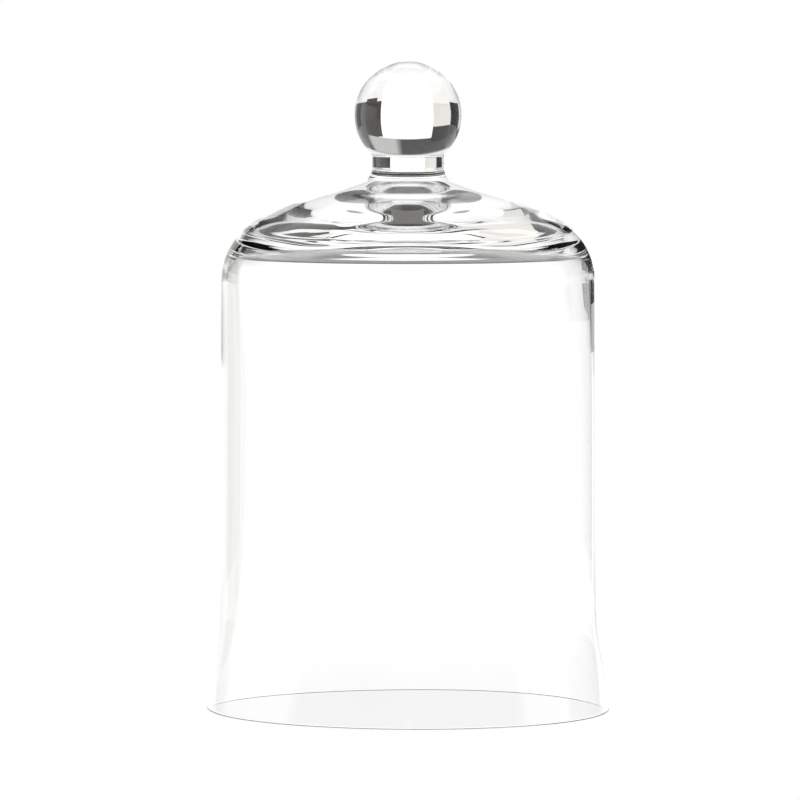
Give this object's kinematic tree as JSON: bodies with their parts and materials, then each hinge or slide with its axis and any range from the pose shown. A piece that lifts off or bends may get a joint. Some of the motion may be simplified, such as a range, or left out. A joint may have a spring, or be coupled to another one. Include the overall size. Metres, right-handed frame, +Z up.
{
  "type": "bell jar dome",
  "caption": "Clear blown-glass bell jar dome with a thick sloping crown, straight wall, flared open lip and a solid ball knob on a short neck.",
  "frame": {"origin": "centre of the circle that the lip stands on", "axes": "+Z up along the dome's axis, from the lip to the knob; X and Y are alike"},
  "size_m": [0.1894, 0.1894, 0.3048],
  "materials": {
    "bell_glass": "clear blown glass, fire polished",
    "knob_glass": "clear solid glass, fire polished"
  },
  "bodies": {
    "root": {"dome_shell": "bell_glass", "knob_neck": "knob_glass", "knob_ball": "knob_glass"}
  },
  "joints": []
}
